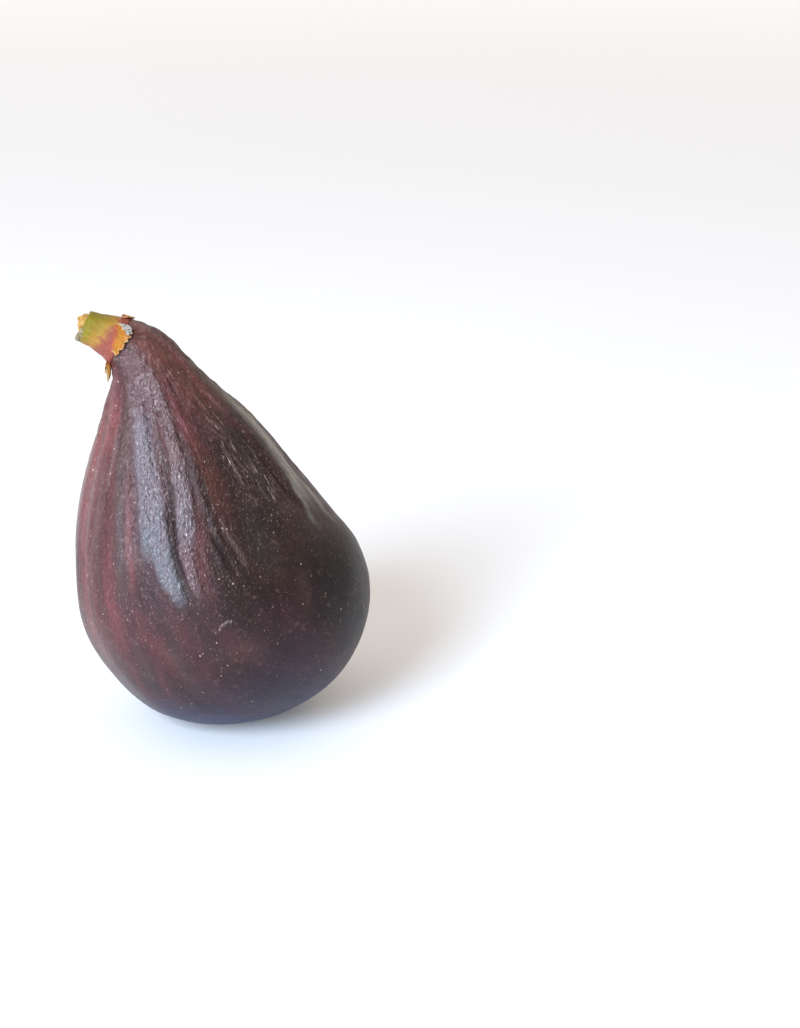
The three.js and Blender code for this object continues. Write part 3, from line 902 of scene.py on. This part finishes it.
def stemFinish(look):
    finish = Finish("stemBark", Subsurface_Weight=0.08, Subsurface_Scale=0.001, Specular_IOR_Level=0.25)
    finish.set(Subsurface_Radius=(1.0, 0.5, 0.2))
    place = finish.painted("stemPlace", 1)
    spot = finish.objectPlace()
    # the first part of the place is 1 on the upper side and -1 on the lower
    upper, _, share = finish.parts(place)
    streak = finish.noise(finish.stretched(place, (3.5, 3.5, 2.5)), 1, 4)
    mottle = finish.noise(spot, look["mottles"], 4, 0.65)
    grit = finish.noise(spot, look["grits"], 2, 0.7)
    ripe = share * -1.25 + 1.16 + (streak - 0.5) * 0.7 + upper * -0.30 + (mottle - 0.5) * 0.5
    finish.colour = finish.mix(look["green"], look["orange"], ripe.rise(0.10, 0.54))
    finish.coat(look["coral"], ripe.rise(0.40, 0.84))
    finish.coat(look["coral"], mottle.rise(0.52, 0.66) * share.rise(1.0, 0.6) * 0.35)
    finish.coat(look["dried"], grit.rise(0.58, 0.75) * 0.40)
    finish.coat(look["driedDark"], grit.rise(0.44, 0.25) * 0.35)
    crust = finish.mix(look["driedDark"], look["dried"], mottle.rise(0.42, 0.58))
    finish.coat(crust, (finish.painted("dried") + (mottle - 0.5) * 2.2).rise(0.45, 0.85))
    torn = finish.mix(look["wood"], look["orange"], mottle.rise(0.40, 0.62) * 0.8)
    torn = finish.mix(torn, look["driedDark"], mottle.rise(0.42, 0.30) * 0.6)
    finish.coat(torn, finish.painted("wood"))
    relief = finish.bump(grit * 0.5 + mottle + streak, look["bumpDepth"])
    return finish.close(mottle * 0.2 + look["roughness"] - 0.1, relief)


stemFinish(stemLook).on(stem, "stem")
print("stem", len(stem.data.polygons), "faces")

bractForms = {
    # span in degrees; in mm, root's distance from the joint at both ends of it, margin's reach at shares
    # of it, and how far lift raises the tip and curl the sides
    "front": {
        "span": (-16, 54),
        "root": (0.6, 2.0),
        "margin": [
            (0, 0.9), (0.1, 1.3), (0.25, 1.7), (0.45, 2.1), (0.6, 2.4), (0.8, 2.8), (0.92, 2.7), (1, 1.8),
        ],
        "lift": 0.45, "curl": 0.20, "ragged": 0.22, "cork": 1.0, "dry": 0.0, "seed": 41,
    },
    "back": {
        "span": (82, 176),
        "root": (1.4, 1.0),
        "margin": [(0, 0.8), (0.12, 1.4), (0.4, 1.7), (0.7, 1.5), (0.9, 1.1), (1, 0.4)],
        "lift": 0.22, "curl": 0.15, "ragged": 0.30, "cork": 0.3, "dry": 0.4, "seed": 42,
    },
    "under": {
        "span": (-112, -52),
        "root": (0.7, 0.7),
        "margin": [
            (0, 0.2), (0.24, 0.5), (0.31, 4.4), (0.37, 1.3), (0.43, 3.2), (0.50, 0.5),
            (0.80, 0.4), (0.87, 3.1), (0.93, 0.4), (1, 0.2),
        ],
        "lift": 1.3, "curl": 0.05, "ragged": 0.10, "cork": 0.0, "dry": 0.15, "seed": 43,
    },
}
bractThickness = 0.28
bractGrid = (90, 40)  # cells across and along


def makeSlab(name, columns, rows, place):
    # a closed slab: place gets side from -1 to 1, reach from 0 to 1 and which are on the upper face
    bm = bmesh.new()
    bmesh.ops.create_grid(bm, x_segments=columns, y_segments=rows, size=1)
    bmesh.ops.solidify(bm, geom=bm.faces[:], thickness=0.1)
    piece = finishPiece(bm, name)
    flat = meshCoords(piece.data)
    side, reach, upper = flat[:, 0], 0.5 * (flat[:, 1] + 1), flat[:, 2] > flat[:, 2].mean()
    setCoords(piece.data, place(side, reach, upper))
    bm = bmesh.new()
    bm.from_mesh(piece.data)
    bmesh.ops.recalc_face_normals(bm, faces=bm.faces)
    bm.to_mesh(piece.data)
    bm.free()
    paint(piece.data, "flapPlace", np.stack([side, reach, upper], axis=-1))
    return piece, side, reach


def makeBract(name, plan):
    def place(side, reach, upper):
        across = 0.5 * (side + 1)
        edge = np.interp(across, *zip(*plan["margin"]))
        across = across + 0.012 * grain(np.stack([reach * 5, side, 0 * side], -1), 1.0, plan["seed"] + 5)
        nicks = grain(np.stack([side * 4, 0 * side, reach], -1), 1.0, plan["seed"])
        nicks = nicks + 0.5 * grain(np.stack([side * 11, 0 * side, reach], -1), 1.0, plan["seed"] + 1)
        edge = edge * (1 + plan["ragged"] * nicks)
        angle = np.radians(plan["span"][0] + (plan["span"][1] - plan["span"][0]) * across)
        along = form.length + np.interp(across, (0, 1), plan["root"]) - reach * edge
        crumple = grain(np.stack([side * 4, reach * 3, 0 * side], -1), 1.0, plan["seed"] + 9)
        crumb = grain(np.stack([side * 12, reach * 10, 0 * side], -1), 1.0, plan["seed"] + 13)
        corky = plan["cork"] * smoothStep(0.2, 0.6, side * reach)
        height = 0.05 + plan["lift"] * reach**2 + plan["curl"] * np.abs(side) ** 3 * reach
        height = height + 0.12 * crumple * reach + corky * (0.15 + 0.22 * crumb)
        thin = 1 - 0.5 * smoothStep(0.6, 1, np.maximum(np.abs(side), reach))
        return onSkin(along, angle, height + bractThickness * thin * upper)

    piece, side, reach = makeSlab("fig_bract_" + name, *bractGrid, place)
    paint(piece.data, "cork", plan["cork"] * smoothStep(0.2, 0.6, side * reach))
    paint(piece.data, "dry", plan["dry"] * smoothStep(0.1, 0.5, reach))
    return piece


bractLook = {
    "orange": (0.43, 0.165, 0.012),
    "coral": (0.4, 0.1, 0.05),
    "margin": (0.56, 0.36, 0.18),
    "shade": (0.2, 0.07, 0.018),
    "cork": (0.42, 0.38, 0.33),
    "corkDark": (0.1, 0.075, 0.055),
    "roughness": 0.6, "mottles": 900, "grits": 3800, "bumpDepth": 0.0003,
}


def bractFinish(look):
    finish = Finish("bractTissue", Subsurface_Weight=0.3, Subsurface_Scale=0.001, Specular_IOR_Level=0.25)
    spot = finish.objectPlace()
    side, reach, _ = finish.parts(finish.painted("flapPlace", 1))
    edge = side.unsigned().atLeast(reach)
    mottle = finish.noise(spot, look["mottles"], 4, 0.65)
    grit = finish.noise(spot, look["grits"], 2, 0.7)
    ripe = (reach - finish.painted("dry") * 1.2 + (mottle - 0.5) * 0.8).rise(0.05, 0.4)
    finish.colour = finish.mix(look["coral"], look["orange"], ripe)
    finish.coat(look["shade"], (mottle * 0.7 + grit * 0.3).rise(0.50, 0.36) * 0.6)
    drying = ((edge + (mottle - 0.5) * 0.6).rise(0.82, 1.0) * 0.6).atLeast(finish.painted("dry"))
    finish.coat(look["margin"], drying)
    cork = finish.mix(look["corkDark"], look["cork"], (mottle * 0.6 + grit * 0.6).rise(0.50, 0.66))
    finish.coat(cork, (finish.painted("cork") + (mottle - 0.5)).rise(0.25, 0.6))
    return finish.close(look["roughness"], finish.bump(mottle + grit * 0.4, look["bumpDepth"]))


bractTissue = bractFinish(bractLook)
for name, plan in bractForms.items():
    bract = makeBract(name, plan)
    intoFrame(bract)
    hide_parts("bract_" + name)
    bractTissue.on(bract, "bract")
print("bracts made")

eyeForm = {
    "scales": 6,
    "base": (2.6, 0.5),  # radius and distance along the axis where a scale grows
    "tip": (0.5, -0.35),
    "firstTurn": 0.25,  # of the way from one scale to the next
    "bulge": 0.45,
    "sweep": 0.989,  # width at the base, where 1 fills a scale's part of the ring
    "narrowing": 0.55,  # how much of it is lost at the tip
    "ragged": 0.12, "thickness": 0.28,
    "grid": (30, 34),  # cells across and along
    "seed": 50, "nickSeed": 60,
}


def makeEyeScale(plan, index):
    dice = random.Random(plan["seed"] + index)
    bulge = plan["bulge"] * dice.uniform(0.8, 1.2)
    middle = (index + plan["firstTurn"]) * 2 * math.pi / plan["scales"]
    halfSweep = plan["sweep"] * math.pi / plan["scales"]

    def place(side, reach, upper):
        nicks = grain(np.stack([side * 3, reach * 3, 0 * side], -1), 0.8, plan["nickSeed"] + index)
        reach = reach * (1 + plan["ragged"] * (nicks - 0.5) * reach)
        radius = plan["base"][0] + (plan["tip"][0] - plan["base"][0]) * reach
        along = plan["base"][1] + (plan["tip"][1] - plan["base"][1]) * reach
        along = along - bulge * np.sin(np.pi * reach) + 0.1 * side + 0.08 * np.sin(6 * side + index)
        sweep = halfSweep * (1 - plan["narrowing"] * reach**1.5) * side
        return form.place(along + plan["thickness"] * ~upper, middle - sweep, np.maximum(radius, 0.15))

    return makeSlab("fig_eye_scale_" + str(index + 1), *plan["grid"], place)[0]


eyeLook = {
    "brown": (0.36, 0.14, 0.045),
    "golden": (0.6, 0.33, 0.12),
    "shade": (0.1, 0.035, 0.025),
    "roughness": 0.65, "mottles": 800, "bumpDepth": 0.0002,
}


def eyeFinish(look):
    finish = Finish("eyeTissue")
    mottle = finish.noise(finish.objectPlace(), look["mottles"], 4, 0.65)
    finish.colour = finish.mix(look["brown"], look["golden"], mottle.rise(0.35, 0.65))
    finish.coat(look["shade"], mottle.rise(0.42, 0.30) * 0.8)
    return finish.close(look["roughness"], finish.bump(mottle, look["bumpDepth"]))


eyeTissue = eyeFinish(eyeLook)
for index in range(eyeForm["scales"]):
    scale = makeEyeScale(eyeForm, index)
    intoFrame(scale)
    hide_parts("eye_scale_" + str(index + 1))
    eyeTissue.on(scale, "eye")
print("eye made")

stageForm = {
    "floorSize": 8.0,
    "floorColour": (0.87, 0.89, 0.93),
    "floorGlow": (0.104, 0.107, 0.112),
    "farGlow": (0.42, 0.43, 0.45),  # beyond the window's light
    "cameraAim": (0.0304, 0, 0.036),
    "cameraDistance": 0.35,
    "cameraPitch": 21,  # degrees below level
    "lens": 71.8,
    "windowTurn": -32,  # degrees to the side of the camera
    "windowHigh": 28, "windowDistance": 0.95,
    "windowSize": (0.42, 0.60),
    "windowPower": 16,
    "windowColour": (0.72, 0.85, 1.0),
    "windowAim": (0, 0, 0.035),
    # a bright wall behind, a darker room in front to the right
    "roomColour": (1, 0.9, 0.8),
    "roomFacing": (-0.2, 0.8, 0.55),  # towards the bright wall
    "roomFade": (-0.55, 0.75),
    "roomLeast": 0.1, "roomGain": 0.85,
    "backdrop": 1.2,  # the least that the camera sees
}


def makeFloor(plan):
    bm = bmesh.new()
    bmesh.ops.create_grid(bm, x_segments=1, y_segments=1, size=plan["floorSize"] / 2)
    floor = finishPiece(bm, "floor")
    finish = Finish("paleFloor", Roughness=0.8, Emission_Strength=1.0)
    away = finish.node("ShaderNodeVectorMath", {"operation": "LENGTH"}, {0: finish.objectPlace()}, 1)
    glow = finish.mix(plan["floorGlow"], plan["farGlow"], away.rise(0.3, 1.6))
    finish.set(Base_Color=plan["floorColour"], Emission_Color=glow)
    floor.data.materials.append(finish.material)


def towards(turn, high):
    # the direction from the fig at a turn from the camera's side and a height, in degrees
    turn, high = math.radians(turn), math.radians(high)
    return Vector((math.sin(turn) * math.cos(high), -math.cos(turn) * math.cos(high), math.sin(high)))


def standBack(thing, aim, back, distance):
    thing.location = Vector(aim) + back * distance
    thing.rotation_mode = "QUATERNION"
    thing.rotation_quaternion = back.to_track_quat("Z", "Y")
    bpy.context.scene.collection.objects.link(thing)


def makeWindow(plan):
    light = bpy.data.lights.new("window", "AREA")
    light.shape = "RECTANGLE"
    light.size, light.size_y = plan["windowSize"]
    light.energy = plan["windowPower"]
    light.color = plan["windowColour"]
    window = bpy.data.objects.new("window", light)
    back = towards(plan["windowTurn"], plan["windowHigh"])
    standBack(window, plan["windowAim"], back, plan["windowDistance"])


def makeRoom(plan):
    world = bpy.data.worlds.new("room")
    world.use_nodes = True
    bpy.context.scene.world = world
    tree = world.node_tree
    back = tree.nodes["Background"]
    coords = tree.nodes.new("ShaderNodeTexCoord")
    facing = tree.nodes.new("ShaderNodeVectorMath")
    facing.operation = "DOT_PRODUCT"
    plug(Wire(coords.outputs[0]), facing.inputs[0])
    facing.inputs[1].default_value = plan["roomFacing"]
    bright = Wire(facing.outputs["Value"]).rise(*plan["roomFade"]) * plan["roomGain"] + plan["roomLeast"]
    seen = tree.nodes.new("ShaderNodeLightPath")
    backdrop = Wire(seen.outputs["Is Camera Ray"]) * plan["backdrop"]
    plug(plan["roomColour"], back.inputs["Color"])
    plug(bright.atLeast(backdrop), back.inputs["Strength"])
    bpy.context.scene.view_settings.view_transform = "Standard"


def makeCamera(plan):
    camera = bpy.data.objects.new("camera", bpy.data.cameras.new("camera"))
    camera.data.lens = plan["lens"]
    standBack(camera, plan["cameraAim"], towards(0, plan["cameraPitch"]), plan["cameraDistance"])
    bpy.context.scene.camera = camera


makeFloor(stageForm)
makeWindow(stageForm)
makeRoom(stageForm)
makeCamera(stageForm)
print("stage set")
